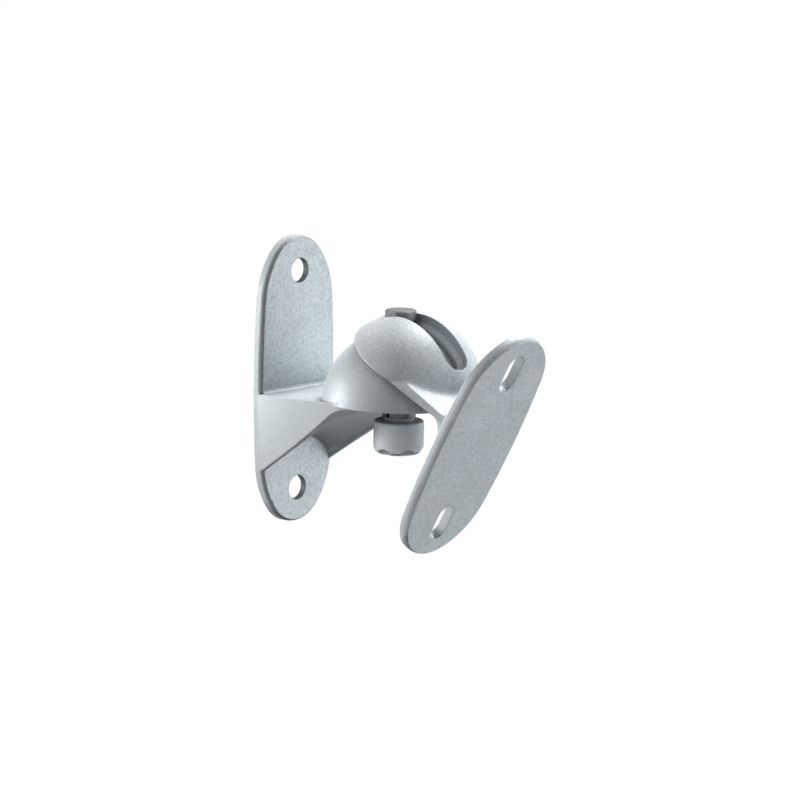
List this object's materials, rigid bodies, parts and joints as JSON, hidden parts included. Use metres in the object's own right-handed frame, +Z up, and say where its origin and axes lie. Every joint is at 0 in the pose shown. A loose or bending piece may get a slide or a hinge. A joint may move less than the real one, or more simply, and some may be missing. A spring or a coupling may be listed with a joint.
{
  "type": "speaker wall bracket",
  "caption": "Cast aluminium wall bracket for a small speaker: an oval wall plate with an arm to a dome, and a slotted oval speaker plate whose cap pans and tilts on the dome.",
  "frame": {"origin": "middle of the wall plate's flat back face, on the wall", "axes": "+Y into the wall, so the bracket stands out along -Y; +Z up; +X to the right seen from the room"},
  "size_m": [0.038, 0.0767, 0.0739],
  "materials": {
    "casting": "satin silver, fine blasted grain",
    "steel": "turned, satin"
  },
  "bodies": {
    "wall_bracket": {"wall_bracket": "casting"},
    "clamp_bolt": {"clamp_bolt": "steel", "lock_washer": "steel"},
    "speaker_bracket": {"speaker_bracket": "casting"},
    "clamp_nut": {"clamp_nut": "steel"}
  },
  "joints": [
    {"name": "pan", "type": "hinge", "parent": "wall_bracket", "child": "clamp_bolt", "pos_m": [0, -0.03685, 0], "axis": [0, 0, 1], "range_deg": [-90, 90]},
    {"name": "tilt", "type": "hinge", "parent": "clamp_bolt", "child": "speaker_bracket", "pos_m": [0, -0.03685, -0.0021], "axis": [1, 0, 0], "range_deg": [-50, 2]},
    {"name": "nut_turn", "type": "hinge", "parent": "clamp_bolt", "child": "clamp_nut", "pos_m": [0, -0.03685, -0.01], "axis": [0, 0, -1], "range_deg": [0, 720]}
  ]
}
